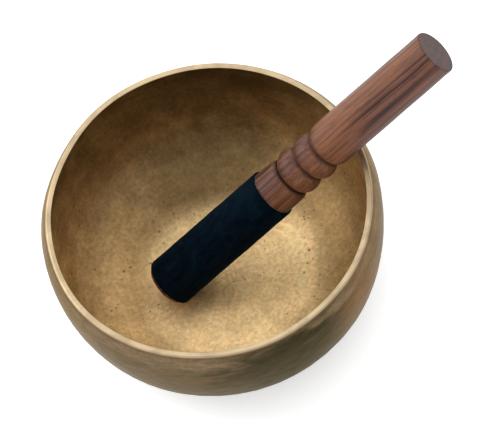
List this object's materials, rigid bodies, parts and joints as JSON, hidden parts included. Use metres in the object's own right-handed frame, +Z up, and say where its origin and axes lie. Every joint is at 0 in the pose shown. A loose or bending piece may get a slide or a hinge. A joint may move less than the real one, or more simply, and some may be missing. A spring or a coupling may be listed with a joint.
{
  "type": "singing bowl",
  "caption": "Hand-hammered bronze singing bowl with a turned rosewood mallet, its head sleeved in suede, resting in it.",
  "frame": {"origin": "centre of the bowl's flat base", "axes": "+Z up along the bowl's axis; the mallet lies in a plane parallel to XZ, its handle leaning over the rim towards +X"},
  "size_m": [0.239, 0.1846, 0.1437],
  "materials": {
    "bronze": "hammered, aged satin bronze with a brighter rim",
    "rosewood": "satin turned rosewood",
    "glue": "dried contact adhesive",
    "suede": "napped navy-black suede"
  },
  "bodies": {
    "bowl": {"bowl": "bronze"},
    "mallet": {"mallet_stick": "rosewood", "glue_film": "glue", "suede_sleeve": "suede"}
  },
  "joints": [
    {"name": "mallet_lift", "type": "slide", "parent": "bowl", "child": "mallet", "axis": [0, 0, 1], "range_m": [0, 0.1]}
  ]
}
